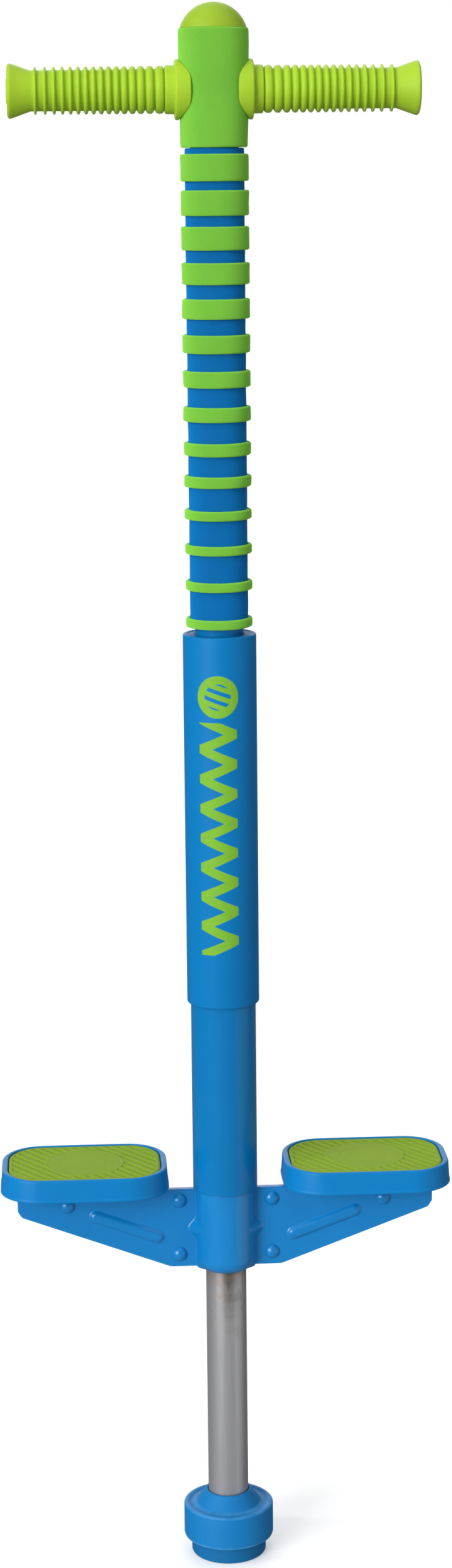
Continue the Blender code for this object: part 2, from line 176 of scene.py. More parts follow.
def turned(name, outline, place=None, sides=ROUND, warp=None, steps=6):
    """A turned piece: outline is (radius, height[, corner radius]), closed or ending on the axis.

    warp moves each point, then place moves the piece; steps is how fine its corners are.
    """
    profile = rounded(outline, steps)
    bm = bmesh.new()
    rings = []
    for radius, height in profile:
        if radius < 1e-6:
            rings.append([Vector((0, 0, height))])
            continue
        angles = [2 * pi * side / sides for side in range(sides)]
        rings.append([Vector((radius * sin(angle), -radius * cos(angle), height)) for angle in angles])
    if warp:
        rings = [[warp(point) for point in ring] for ring in rings]
    skin(bm, rings, wrap=profile[0][0] > 1e-6)
    if place:
        bmesh.ops.transform(bm, matrix=place, verts=bm.verts)
    return finish_mesh(bm, name)


def tube_outline(low, high, inner, outer, soft=0.3):
    """A tube's outline, with its edges rounded by soft."""
    return [(inner, low, soft), (outer, low, soft), (outer, high, soft), (inner, high, soft)]


def rod_outline(low, high, radius, soft=0.3):
    """A rod's outline, with its edges rounded by soft."""
    return [(0, low), (radius, low, soft), (radius, high, soft), (0, high)]


def along(axis, x=0.0, y=0.0, z=0.0):
    """The placing that lays a piece's own +Z along a named axis, at a point."""
    turn = {"x": Matrix.Rotation(pi / 2, 4, "Y"), "y": Matrix.Rotation(-pi / 2, 4, "X"),
            "z": Matrix.Identity(4)}[axis]
    return Matrix.Translation((x, y, z)) @ turn


def settle(piece):
    """Apply the piece's modifiers."""
    graph = bpy.context.evaluated_depsgraph_get()
    made = bpy.data.meshes.new_from_object(piece.evaluated_get(graph))
    piece.modifiers.clear()
    piece.data = made


def cut(piece, *cutters, operation="DIFFERENCE"):
    """Boolean the cutters with the piece, and remove them."""
    for cutter in cutters:
        step = piece.modifiers.new("cut", "BOOLEAN")
        step.operation = operation
        step.solver = "EXACT"
        step.object = cutter
    settle(piece)
    for cutter in cutters:
        bpy.data.objects.remove(cutter)
    smooth_faces(piece.data)


def block(low, high):
    """A box given by two corners, for cutting or joining."""
    bm = bmesh.new()
    corners = [(low[0], low[1]), (high[0], low[1]), (high[0], high[1]), (low[0], high[1])]
    skin(bm, [[Vector((x, y, z)) for x, y in corners] for z in (low[2], high[2])], False, True)
    return finish_mesh(bm, "block")


def cross_hole(radius, z, axis):
    """A round cutter that runs right through the stem along an axis."""
    reach = 40.0
    return turned("cutter", rod_outline(-reach, reach, radius, 0.01), along(axis, z=z), 48)


def dress(piece, body, look, node):
    """Give a piece its body and its material, and hide the CAD node that it stands for."""
    piece.data.materials.clear()
    piece.data.materials.append(look)
    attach(piece, body)
    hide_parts(node)


# Materials


class Look:
    """A material's node tree, with one short call for each node."""

    def __init__(self, name, roughness=0.5, metallic=0.0, **sockets):
        self.material = bpy.data.materials.new(name)
        self.material.use_nodes = True
        self.tree = self.material.node_tree
        self.shader = self.tree.nodes["Principled BSDF"]
        self.shader.inputs["Roughness"].default_value = roughness
        self.shader.inputs["Metallic"].default_value = metallic
        for label, value in sockets.items():
            self.shader.inputs[label.replace("_", " ")].default_value = value
        self.place = self.tree.nodes.new("ShaderNodeTexCoord").outputs["Object"]

    def put(self, socket, value):
        """Link a socket to another, or set its value."""
        if isinstance(value, bpy.types.NodeSocket):
            self.tree.links.new(value, socket)
        elif socket.type == "RGBA" and len(value) == 3:
            socket.default_value = (*value, 1.0)
        else:
            socket.default_value = value

    def math(self, operation, *values):
        node = self.tree.nodes.new("ShaderNodeMath")
        node.operation = operation
        for socket, value in zip(node.inputs, values):
            self.put(socket, value)
        return node.outputs[0]

    def stretch(self, x, y, z):
        """The object's coordinates, in metres, times a number along each axis."""
        node = self.tree.nodes.new("ShaderNodeVectorMath")
        node.operation = "MULTIPLY"
        self.put(node.inputs[0], self.place)
        node.inputs[1].default_value = (x, y, z)
        return node.outputs[0]

    def split(self):
        """x, y and z of the object's coordinates, in millimetres."""
        node = self.tree.nodes.new("ShaderNodeSeparateXYZ")
        self.put(node.inputs[0], self.stretch(1000, 1000, 1000))
        return node.outputs[0], node.outputs[1], node.outputs[2]

    def bearing(self):
        """The angle round the stem: 0 at the front, growing towards the right."""
        x, y, _ = self.split()
        return self.math("ARCTAN2", x, self.math("MULTIPLY", y, -1))

    def off(self, value, centre):
        """How far a value is from a centre."""
        return self.math("ABSOLUTE", self.math("SUBTRACT", value, centre))

    def noise(self, size, detail=3.0, vector=None):
        """Noise of 0 to 1 whose spots are about size millimetres across."""
        node = self.tree.nodes.new("ShaderNodeTexNoise")
        self.put(node.inputs["Vector"], vector or self.place)
        node.inputs["Scale"].default_value = 1000 / size
        node.inputs["Detail"].default_value = detail
        return node.outputs["Fac"]

    def cells(self, size):
        """Distance to the middle of the nearest cell, for cells about size millimetres across."""
        node = self.tree.nodes.new("ShaderNodeTexVoronoi")
        self.put(node.inputs["Vector"], self.place)
        node.inputs["Scale"].default_value = 1000 / size
        return node.outputs["Distance"]

    def ramp(self, value, low, high, to_low=0.0, to_high=1.0):
        """The value's place between low and high, carried over to between to_low and to_high."""
        node = self.tree.nodes.new("ShaderNodeMapRange")
        for socket, item in zip(node.inputs, (value, low, high, to_low, to_high)):
            self.put(socket, item)
        return node.outputs[0]

    def drift(self, size, low, high, detail=2.0):
        """Noise that wanders between two values, in patches about size millimetres across."""
        return self.ramp(self.noise(size, detail), 0.15, 0.85, low, high)

    def mix(self, factor, first, second):
        """The first colour where the factor is 0, the second where it is 1."""
        node = self.tree.nodes.new("ShaderNodeMix")
        node.data_type = "RGBA"
        self.put(node.inputs["Factor"], factor)
        colours = [socket for socket in node.inputs if socket.type == "RGBA"]
        self.put(colours[0], first)
        self.put(colours[1], second)
        return [socket for socket in node.outputs if socket.type == "RGBA"][0]

    def bump(self, height, strength, depth_mm):
        """Chained bumps: each call adds to the one before."""
        node = self.tree.nodes.new("ShaderNodeBump")
        node.inputs["Strength"].default_value = strength
        node.inputs["Distance"].default_value = depth_mm * MM
        self.put(node.inputs["Height"], height)
        links = self.shader.inputs["Normal"].links
        if links:
            self.put(node.inputs["Normal"], links[0].from_socket)
        self.put(self.shader.inputs["Normal"], node.outputs[0])

    def colour(self, value):
        self.put(self.shader.inputs["Base Color"], value)

    def rough(self, value):
        self.put(self.shader.inputs["Roughness"], value)


def shade(colour, factor):
    """The colour, brighter or darker by a factor."""
    return tuple(channel * factor for channel in colour)


BLUE = (0.003, 0.207, 0.540)
FOAM_BLUE = (0.002, 0.157, 0.440)
FOAM_GREEN = (0.200, 0.535, 0.056)
LIME = (0.380, 0.598, 0.028)
TREAD = (0.250, 0.398, 0.026)
PRINT = (0.200, 0.460, 0.036)
# the pale blue of the foot's painted edge highlights
EDGE_HIGHLIGHT = (0.080, 0.380, 0.760)
STEEL_DARK, STEEL_LIGHT = (0.382, 0.384, 0.396), (0.462, 0.464, 0.476)
SEAM = (0.58, 0.59, 0.62)
RUST = (0.22, 0.13, 0.08)
# brown of the band below the neck: partly rust haze, partly painted shade under the bracket's lip
RUST_HAZE_AND_SHADE = (0.26, 0.165, 0.10)
GREASE = (0.075, 0.050, 0.035)


def mottled(look, colour, size, spread):
    """The colour, varied a little in patches."""
    patches = look.drift(size, 0, 1, 4.0)
    return look.mix(patches, shade(colour, 1 - spread), shade(colour, 1 + spread))


def paint(name, colour, specular):
    """Gloss paint with a faint orange peel."""
    look = Look(name, Specular_IOR_Level=specular)
    look.colour(mottled(look, colour, 28, 0.05))
    look.rough(look.drift(14, 0.20, 0.26))
    look.bump(look.noise(1.6, 2.0), 0.10, 0.08)
    look.bump(look.noise(9.0, 1.0), 0.10, 0.15)
    return look.material


def foam(name, colour, sheen):
    """Closed-cell foam: fine pores under a soft sheen."""
    look = Look(name, Diffuse_Roughness=1.0, Sheen_Weight=sheen, Sheen_Roughness=0.7,
                Sheen_Tint=(*shade(colour, 1.9), 1.0), Specular_IOR_Level=0.10)
    pore = 0.9
    pores = look.ramp(look.cells(pore), 0.0, 0.35)
    look.colour(look.mix(pores, shade(colour, 0.86), mottled(look, colour, 22, 0.06)))
    look.rough(look.drift(8, 0.80, 0.92))
    look.bump(look.cells(pore), 0.25, 0.10)
    look.bump(look.noise(5, 3.0), 0.18, 0.25)
    return look.material


def vinyl(name, colour):
    """Soft vinyl that lets a little light in."""
    look = Look(name, Subsurface_Weight=0.25, Subsurface_Scale=0.003, Specular_IOR_Level=0.22)
    look.colour(mottled(look, colour, 16, 0.05))
    look.rough(look.drift(5, 0.42, 0.54))
    look.bump(look.noise(0.7, 2.0), 0.12, 0.05)
    look.bump(look.noise(6, 2.0), 0.10, 0.15)
    return look.material


PRINT_TURN = radians(-7.2)  # the bearing of the print's middle line
ROUNDEL_Z, ROUNDEL_R = 490.0, 11.3
BARS_R = ROUNDEL_R * 0.62
BAR_SLANT, BAR_PITCH = 0.35, 5.0
ZIGZAG_BASE, ZIGZAG_TOP = 350.0, 476.2
ZIGZAG_HALF, TOOTH, STROKE = 9.2, 8.0, 5.0
INK_EDGE = 0.15  # half the width of the roundel's soft edge


def print_mask(look):
    """Where the sleeve's print lies: a roundel with three slanted bars, over a zigzag band."""
    z = look.split()[2]
    across = look.math("MULTIPLY", look.math("SUBTRACT", look.bearing(), PRINT_TURN), SLEEVE_R)
    up = look.math("SUBTRACT", z, ROUNDEL_Z)
    far = look.math("SQRT", look.math("ADD", look.math("MULTIPLY", across, across),
                                      look.math("MULTIPLY", up, up)))
    disc = look.ramp(far, ROUNDEL_R - INK_EDGE, ROUNDEL_R + INK_EDGE, 1, 0)
    slanted = look.math("ADD", up, look.math("MULTIPLY", across, BAR_SLANT))
    bar = look.math("PINGPONG", look.math("ADD", slanted, 4.5 * BAR_PITCH), BAR_PITCH / 2)
    bars = look.math("MULTIPLY", look.ramp(bar, 0.95, 1.25, 1, 0),
                     look.ramp(far, BARS_R - INK_EDGE, BARS_R + INK_EDGE, 1, 0))
    disc = look.math("MULTIPLY", disc, look.math("SUBTRACT", 1, bars))

    wave = look.math("PINGPONG", look.math("SUBTRACT", z, ZIGZAG_BASE), TOOTH)
    line = look.ramp(wave, 0, TOOTH, -ZIGZAG_HALF, ZIGZAG_HALF)
    half_width = STROKE / 2 * hypot(1, 2 * ZIGZAG_HALF / TOOTH)  # of a slanted stroke, along a level line
    zigzag = look.ramp(look.off(across, line), half_width - 0.3, half_width + 0.3, 1, 0)
    tall = (ZIGZAG_TOP - ZIGZAG_BASE) / 2
    ends = look.ramp(look.off(z, ZIGZAG_BASE + tall), tall, tall + 0.2, 1, 0)
    sides = look.ramp(look.math("ABSOLUTE", across), ZIGZAG_HALF + 1.0, ZIGZAG_HALF + 1.3, 1, 0)
    zigzag = look.math("MULTIPLY", look.math("MULTIPLY", zigzag, ends), sides)
    return look.math("MAXIMUM", disc, zigzag)


def sleeve_plastic():
    """The sleeve: satin moulded plastic with a slightly worn print."""
    look = Look("blue_moulded_sleeve", Specular_IOR_Level=0.10)
    worn = look.ramp(look.noise(2.5, 4.0), 0.30, 0.42, 0.85, 1.0)
    ink = look.math("MULTIPLY", print_mask(look), worn)
    plastic = mottled(look, shade(BLUE, 0.86), 34, 0.05)
    look.colour(look.mix(ink, plastic, mottled(look, PRINT, 10, 0.05)))
    look.rough(look.drift(10, 0.40, 0.50))
    look.bump(ink, 0.3, 0.03)
    look.bump(look.noise(1.2, 2.0), 0.10, 0.06)
    look.bump(look.noise(30, 1.0), 0.10, 0.4)
    return look.material


def moulded(name, colour, roughness, grain, specular=0.25):
    """Moulded plastic or rubber, with a grain of a size in millimetres."""
    look = Look(name, Specular_IOR_Level=specular)
    look.colour(mottled(look, colour, 18, 0.05))
    look.rough(look.drift(6, roughness - 0.05, roughness + 0.05))
    look.bump(look.noise(grain, 2.0), 0.14, 0.06)
    look.bump(look.noise(12, 1.0), 0.08, 0.2)
    return look.material


def foot_rubber_with_painted_light():
    """The foot: painted shade on the sole band under the body's overhang, which is also rougher, and
    painted highlights along two edges.
    """
    sole, step_edge, top_edge = 9.6, 10.9, 28.9
    look = Look("blue_foot_rubber", Specular_IOR_Level=0.25)
    z = look.split()[2]
    # painted shade: the sole band under the body's overhang is coloured darker, and the same mask makes it
    # rougher
    worn = look.ramp(look.math("ADD", z, look.noise(3, 3.0)), sole - 1.1, sole + 2.4, 1, 0)
    # painted highlights: pale lines along the step's edge and the shoulder's edge, in place of reflections
    # of the floor and the top light
    edge_highlight = look.math("MAXIMUM", look.ramp(look.off(z, step_edge), 0.2, 0.8, 1, 0),
                    look.ramp(look.off(z, top_edge), 0.2, 1.0, 0.6, 0))
    edge_highlight = look.math("MULTIPLY", edge_highlight, look.ramp(look.noise(6, 3.0), 0.35, 0.60, 0.25, 0.65))
    plain_blue = mottled(look, shade(BLUE, 0.88), 18, 0.05)
    look.colour(look.mix(edge_highlight, look.mix(worn, plain_blue, shade(BLUE, 0.66)), EDGE_HIGHLIGHT))
    look.rough(look.math("ADD", look.drift(6, 0.52, 0.62), look.math("MULTIPLY", worn, 0.15)))
    look.bump(look.noise(0.8, 2.0), 0.14, 0.06)
    look.bump(look.noise(12, 1.0), 0.08, 0.2)
    return look.material


def drawn_steel():
    """The plunger: drawn lines, a weld seam, rust, a brown band below the neck that is partly rust haze and
    partly painted shade under the bracket's lip, and a run of grease.
    """
    seam_turn, run_turn = radians(24), radians(7)
    rust_base, run_length, haze_and_shade_length = 120, 34, 13
    look = Look("drawn_steel", metallic=0.6)
    z, bearing = look.split()[2], look.bearing()
    lines = look.noise(0.5, 3.0, look.stretch(1, 1, 0.012))
    colour = look.mix(lines, STEEL_DARK, STEEL_LIGHT)
    seam = look.ramp(look.off(bearing, seam_turn), 0.02, 0.06, 1, 0)
    colour = look.mix(look.math("MULTIPLY", seam, 0.2), colour, SEAM)
    rust = look.ramp(look.noise(7, 5.0), 0.48, 0.66)
    rust = look.math("MULTIPLY", rust, look.ramp(z, rust_base, NECK_BASE))
    colour = look.mix(look.math("MULTIPLY", rust, 0.55), colour, RUST)
    # partly rust haze, partly painted shade: a brown band darkens the tube all round, more towards the
    # bracket's lip
    colour = look.mix(look.ramp(z, NECK_BASE - haze_and_shade_length, NECK_BASE, 0, 0.6), colour, RUST_HAZE_AND_SHADE)
    run = look.ramp(look.off(bearing, run_turn), 0.08, 0.50, 1, 0)
    run = look.math("MULTIPLY", run, look.ramp(z, NECK_BASE - run_length, NECK_BASE - 3))
    run = look.math("MULTIPLY", run, look.ramp(look.noise(4, 4.0), 0.30, 0.60, 0.65, 1.0))
    look.colour(look.mix(look.math("MULTIPLY", run, 0.9), colour, GREASE))
    look.rough(look.math("ADD", look.ramp(lines, 0.2, 0.8, 0.30, 0.42), look.math("MULTIPLY", rust, 0.3)))
    look.bump(lines, 0.10, 0.05)
    look.bump(look.noise(7, 2.0), 0.08, 0.3)
    return look.material


def hardware(name, colour, roughness, metallic=1.0):
    """A small piece's metal or nylon, stained a little by handling and oil."""
    look = Look(name, metallic=metallic)
    stains = look.ramp(look.noise(3, 4.0), 0.35, 0.65)
    look.colour(look.mix(stains, shade(colour, 0.88), shade(colour, 1.08)))
    look.rough(look.drift(1.5, roughness - 0.06, roughness + 0.08))
    look.bump(look.noise(0.8, 2.0), 0.12, 0.05)
    return look.material


ENAMEL = paint("blue_enamel", BLUE, 0.45)
TUBE_ENAMEL = paint("blue_tube_enamel", shade(BLUE, 0.82), 0.20)
GREEN_FOAM = foam("green_closed_cell_foam", FOAM_GREEN, 0.3)
BLUE_FOAM = foam("blue_closed_cell_foam", FOAM_BLUE, 0.2)
VINYL = vinyl("lime_vinyl_skin", LIME)
CAP_VINYL = vinyl("lime_vinyl_cap", shade(LIME, 0.80))
SLEEVE = sleeve_plastic()
TRAY = moulded("blue_moulded_tray", shade(BLUE, 0.92), 0.42, 1.0, specular=0.15)
TREAD_RUBBER = moulded("green_tread_rubber", TREAD, 0.70, 0.6, specular=0.10)
FOOT_RUBBER = foot_rubber_with_painted_light()
BUFFER_RUBBER = moulded("black_buffer_rubber", (0.03, 0.03, 0.03), 0.75, 0.8)
PLUNGER_STEEL = drawn_steel()
STEEL = hardware("plated_steel", (0.50, 0.50, 0.52), 0.34)
SPRING_STEEL = hardware("oiled_spring_wire", (0.20, 0.20, 0.21), 0.40)
NYLON = hardware("natural_nylon", (0.72, 0.70, 0.64), 0.5, metallic=0.0)


# Pieces of the stem


def uneven(amount, size, seed):
    """A warp that moves a foam surface in and out a little, in broad patches."""
    def warp(point):
        away = hypot(point.x, point.y)
        drift = noise.noise(Vector((point.x, point.y, point.z)) / size + Vector((seed, 0, 0)))
        scale = 1 + amount * drift / away
        return Vector((point.x * scale, point.y * scale, point.z))
    return warp


def upper_tube():
    outline = tube_outline(STEM_BASE, STEM_TOP, STEM_R - STEM_WALL, STEM_R)
    piece = turned("upper_tube_painted", outline)
    cut(piece, cross_hole(BAR_R + GAP, BAR_Z, "x"), cross_hole(PIN_R + GAP, BAR_Z, "y"))
    dress(piece, "stick", TUBE_ENAMEL, "upper_tube")


def barrel():
    """The barrel tube, swaged down to a neck at the shoulder."""
    neck_in, step = NECK_R - TUBE_WALL, SHOULDER + TUBE_WALL
    neck_base = NECK_BASE + 1.5  # clear of the bracket's rolled lip
    piece = turned("barrel_tube_painted", [
        (neck_in, neck_base, 0.3), (NECK_R, neck_base, 0.3), (NECK_R, SHOULDER),
        (BARREL_R, SHOULDER, 0.3), (BARREL_R, BARREL_TOP, 0.4), (BARREL_IN, BARREL_TOP, 0.4),
        (BARREL_IN, step), (neck_in, step, 0.5)])
    cut(piece, cross_hole(PIN_R + GAP, middle("seat_pin"), "y"))
    dress(piece, "stick", TUBE_ENAMEL, "barrel_tube")


def barrel_sleeve():
    """The moulded cover, whose top turns in to the upper tube."""
    inner, lip = BARREL_R + GAP, SLEEVE_TOP - 1.8
    mouth = STEM_R + GAP
    piece = turned("barrel_sleeve_printed", [
        (inner, SLEEVE_BASE, 0.3), (SLEEVE_R, SLEEVE_BASE, 0.7), (SLEEVE_R, SLEEVE_TOP - 0.2, 0.9),
        (SLEEVE_R - 2.2, SLEEVE_TOP, 0.5), (SLEEVE_R - 2.8, SLEEVE_TOP - 0.5, 0.4),
        (mouth + 0.8, SLEEVE_TOP - 0.3, 0.3), (mouth, SLEEVE_TOP - 0.9, 0.3), (mouth, lip, 0.2),
        (inner, lip, 0.4)])
    dress(piece, "stick", SLEEVE, "barrel_sleeve")


def stem_foam():
    """The blue foam sleeve, with points all down its side for the warp to move."""
    rows = 80
    start, low, high, end = tube_outline(FOAM_BASE, FOAM_TOP, STEM_R + GAP, FOAM_R, 0.8)
    side = [(FOAM_R, FOAM_BASE + (FOAM_TOP - FOAM_BASE) * row / rows) for row in range(1, rows)]
    piece = turned("upper_foam_sleeve", [start, low, *side, high, end], warp=uneven(0.22, 14.0, 3.0))
    dress(piece, "stick", BLUE_FOAM, "upper_foam")


def foam_rings():
    """The green rings on the foam sleeve, each uneven in its own way."""
    for index in range(1, RINGS + 1):
        node = f"foam_ring_{index:02d}"
        base, top = span(node, Z)
        soft = min(1.5, 0.3 * (top - base))
        ring = turned(f"{node}_soft", [
            (FOAM_R + 0.1, base, 0.3), (RING_R, base, soft), (RING_R, (base + top) / 2),
            (RING_R, top, soft), (FOAM_R + 0.1, top, 0.3)], warp=uneven(0.30, 9.0, 5.0 * index))
        dress(ring, "stick", GREEN_FOAM, node)


def head_foam():
    """The green block round the crossing, a little narrower towards its base."""
    rows, taper = 30, 0.7
    side_base, side_top = HEAD_BASE + 2, HEAD_TOP - 1.2
    side = []
    for row in range(rows + 1):
        t = row / rows
        side.append((HEAD_R - taper * (1 - t) ** 2, side_base + (side_top - side_base) * t))
    piece = turned("head_foam_soft", [
        (STEM_R + GAP, HEAD_BASE, 0.6), (HEAD_R - 0.8, HEAD_BASE, 1.2), *side,
        (HEAD_R - 0.3, HEAD_TOP, 0.8), (STEM_R + GAP, HEAD_TOP, 0.6)], warp=uneven(0.25, 16.0, 9.0))
    cut(piece, cross_hole(BAR_R + GAP, BAR_Z, "x"))
    dress(piece, "stick", GREEN_FOAM, "head_foam")


def dome_cap():
    """The cap: a dome that stands on the head foam, on a plug that fits in the upper tube."""
    dome_r, steps = 17.8, 40
    plug_r = STEM_R - 1.5
    centre = TOTAL - dome_r
    foot, base = span("dome_cap", Z)[0], HEAD_TOP + 0.1
    first = asin((base - centre) / dome_r)
    arc = [first + (pi / 2 - first) * step / steps for step in range(steps)]
    profile = [(0, foot), (plug_r, foot, 0.6), (plug_r, base), (dome_r * cos(first) - 0.5, base)]
    profile += [(dome_r * cos(angle), centre + dome_r * sin(angle)) for angle in arc] + [(0, TOTAL)]
    dress(turned("dome_cap_vinyl", profile), "stick", CAP_VINYL, "dome_cap")


# Handlebar and grips


def handlebar():
    inner = BAR_R - TUBE_WALL
    outline = [(inner, -BAR_REACH, 0.3), (BAR_R, -BAR_REACH, 0.4), (BAR_R, BAR_REACH, 0.4),
               (inner, BAR_REACH, 0.3)]
    bar = turned("handlebar_tube", outline, along("x", z=BAR_Z), 96)
    cut(bar, cross_hole(PIN_R + GAP, BAR_Z, "y"))
    dress(bar, "stick", STEEL, "handlebar")


GRIP_CORE_R = 10.2
GRIP_RIB_R = 11.95
RIBS = 16
RIBS_START, RIBS_END = 25.6, 93.4
RIB_PLACES = [27.7]  # middles of the ribs, close together halfway along
for step in range(RIBS - 1):
    RIB_PLACES.append(RIB_PLACES[-1] + 3.88 + 1.13 * abs(step / 7 - 1) ** 3)


def rib_radius(distance):
    """The grip's radius at a distance from the stem: fat ribs by the head, fine ones by the end."""
    index = min(range(RIBS), key=lambda i: abs(RIB_PLACES[i] - distance))
    t = index / (RIBS - 1)
    half = 1.95 - 1.45 * t**0.6
    off = abs(distance - RIB_PLACES[index]) / (half + 0.35)
    if off >= 1:
        return GRIP_CORE_R
    return GRIP_CORE_R + (GRIP_RIB_R - GRIP_CORE_R) * (1 - off**2.6) ** (0.6 + 0.4 * t)


def grip(name, side):
    """A ribbed grip whose inner flange sits on the head foam like a saddle."""
    bore, flange_r, flare_r, soft = BAR_R + GAP, 15.2, 13.85, 0.6
    saddle, bridge = HEAD_R - 0.15, 11.9  # it stays clear of the upper tube between its two horns
    samples = RIBS * 18
    ribs = []
    for step in range(samples + 1):
        distance = RIBS_START + (RIBS_END - RIBS_START) * step / samples
        ribs.append((rib_radius(distance), distance))
    lip = [(flange_r - soft + soft * sin(turn), soft - soft * cos(turn))
           for turn in (pi / 12 * step for step in range(7))]
    face = GRIP_END - 0.45  # of the end, round its raised middle
    outline = [
        (bore, 0.0), *lip, (flange_r, 20.0, 0.9), (GRIP_RIB_R + 0.3, 20.3, 0.4),
        (GRIP_RIB_R + 0.2, 25.1, 1.0), (GRIP_CORE_R, 25.3, 0.2), *ribs, (flare_r - 0.3, 103.0, 1.2),
        (flare_r, GRIP_END - 1.2, 1.0), (flare_r - 1.4, face, 0.7), (6.4, face), (6.1, GRIP_END, 0.2),
        (0, GRIP_END)]
    inside = [(0, GRIP_END - 1.5), (bore, GRIP_END - 1.5, 0.4)]

    def sit(point):
        """Set the flange's inner face back, to follow the head foam's round side."""
        if point.z > soft + 0.01:
            return point
        seat = sqrt(saddle**2 - point.y**2)
        eased = (seat + bridge + sqrt((seat - bridge) ** 2 + 1.0)) / 2
        return Vector((point.x, point.y, eased + point.z))

    turn = Matrix.Rotation(0 if side > 0 else pi, 4, "Z")
    piece = turned(name, inside + outline, turn @ along("x", z=BAR_Z), 128, sit, 5)
    dress(piece, "stick", VINYL, name.replace("_ribbed", ""))


# Footrest bracket


PLATE = 1.5
BACK = GAP / 2  # from the stem's middle plane to the back of a plate
MIDDLE = BACK + PLATE / 2  # and to its middle
CHANNEL_R = NECK_R + GAP + PLATE / 2
FILLET = 1.5
TAB_X = (42.0, 108.0)
TAB_BEND = 2.0
RIVETS = {"upper": (25.4, 207.0), "lower": (25.5, 176.1), "outer": (86.8, 205.4)}
PLATE_ROWS = 64
LIP_ROWS = 8
LIP_BEND = 6.4
LIP_SWEEP = radians(62)
LIP_START = 168.6 + LIP_BEND * sin(LIP_SWEEP)
LIP_STRIP = 0.96  # height of the lip's rows where there is no lip


def smooth(t):
    """An S-curve from 0 to 1 as t goes from 0 to 1."""
    t = min(max(t, 0), 1)
    return t * t * (3 - 2 * t)


def bracket_plan():
    """Points of the stamping's middle line seen from above, from the right end to x = 0.

    Each is (x, y, share of the lower lip), with y outwards.
    """
    column = 0.9  # the width of a column of faces on a wing
    fillet_steps, channel_steps = 8, 32
    away = CHANNEL_R + FILLET
    fillet_x = sqrt(away**2 - (MIDDLE + FILLET) ** 2)
    lean = atan2(MIDDLE + FILLET, fillet_x)
    flat = BRACKET_REACH - fillet_x
    count = round(flat / column)
    plan = [(fillet_x + flat * (1 - i / count), MIDDLE, 0) for i in range(count)]
    sweep = pi / 2 - lean
    for i in range(fillet_steps + 1):
        angle = sweep * i / fillet_steps
        plan.append((fillet_x - FILLET * sin(angle), MIDDLE + FILLET - FILLET * cos(angle), 0))
    for i in range(1, channel_steps + 1):
        angle = lean + sweep * i / channel_steps
        plan.append((CHANNEL_R * cos(angle), CHANNEL_R * sin(angle), smooth((angle - lean) / 0.35)))
    return plan


def lower_edge(x):
    """The stamping's lower edge: level under the stem, then sloping up to a blunt tip."""
    outline = rounded([(0, WING_BASE), (30.5, WING_BASE, 8.0), (111.8, 199.6, 2.4),
                       (BRACKET_REACH, 203.2), (BRACKET_REACH, WING_TOP)])
    x = min(x, BRACKET_REACH - 0.01)
    for (x0, z0), (x1, z1) in zip(outline, outline[1:]):
        if x0 <= x <= x1 and x1 > x0:
            return z0 + (z1 - z0) * (x - x0) / (x1 - x0)


def emboss(x, z):
    """How far the pressed rib stands out of the plate."""
    start, end, half = Vector((37.5, 186.4)), Vector((71.2, 198.8)), 3.7
    height, flank = 1.7, 2.3
    run = end - start
    t = min(max((Vector((x, z)) - start).dot(run) / run.length_squared, 0), 1)
    return height * smooth((half - (Vector((x, z)) - start - t * run).length) / flank)


def gusset(x, y, z):
    """The pressed web that stiffens the corner between the channel and a wing."""
    foot, crest = Vector((21.4, MIDDLE)), Vector((12.4, 10.19))
    middle_z, blunt, slope = 190.8, 1.6, 0.72
    run = (crest - foot).normalized()
    out = Vector((run.y, -run.x))
    deep = out.dot(foot - Vector((x, y))) - slope * (hypot(z - middle_z, blunt) - blunt)
    push = deep * deep / (deep + 1.0) if deep > 0 and x > crest.x - 0.01 else 0.0
    return x + out.x * push, y + out.y * push


def plate_column(x, y, lip):
    """The points up the stamping at one place of its plan, with the lip's rows first."""
    low = lower_edge(x)
    top = TAB_TOP - TAB_BEND if TAB_X[0] <= x <= TAB_X[1] else WING_TOP
    start = low + LIP_STRIP * (1 - lip) + (LIP_START - low) * lip
    column = []
    for row in range(-LIP_ROWS, 0):
        angle = -LIP_SWEEP * row / LIP_ROWS
        inward = lip * LIP_BEND * (1 - cos(angle)) / CHANNEL_R
        z = start + lip * -LIP_BEND * sin(angle) + (1 - lip) * LIP_STRIP * row / LIP_ROWS
        column.append((x * (1 - inward), y * (1 - inward), z))
    for row in range(PLATE_ROWS + 1):
        z = start + (top - start) * row / PLATE_ROWS
        column.append((*gusset(x, y + emboss(x, z), z), z))
    return column


def bend_tab(bm, edge, facing):
    """Faces for a tab, bent outwards from the top edge of a wing."""
    bend_steps, flat_steps = 6, 8
    bend_z = TAB_TOP - TAB_BEND - PLATE / 2
    flat_start = MIDDLE + TAB_BEND
    reach = TAB_DEPTH - 0.1 - flat_start
    places = []
    for step in range(1, bend_steps + 1):
        angle = pi / 2 * step / bend_steps
        places.append((MIDDLE + TAB_BEND * (1 - cos(angle)), bend_z + TAB_BEND * sin(angle)))
    for step in range(1, flat_steps + 1):
        places.append((flat_start + reach * step / flat_steps, TAB_TOP - PLATE / 2))
    rims = [edge] + [[bm.verts.new((v.co.x, facing * y, z)) for v in edge] for y, z in places]
    for v in edge:
        v.co.z = bend_z
    for first, second in zip(rims, rims[1:]):
        for i in range(len(edge) - 1):
            bm.faces.new((first[i], first[i + 1], second[i + 1], second[i]))


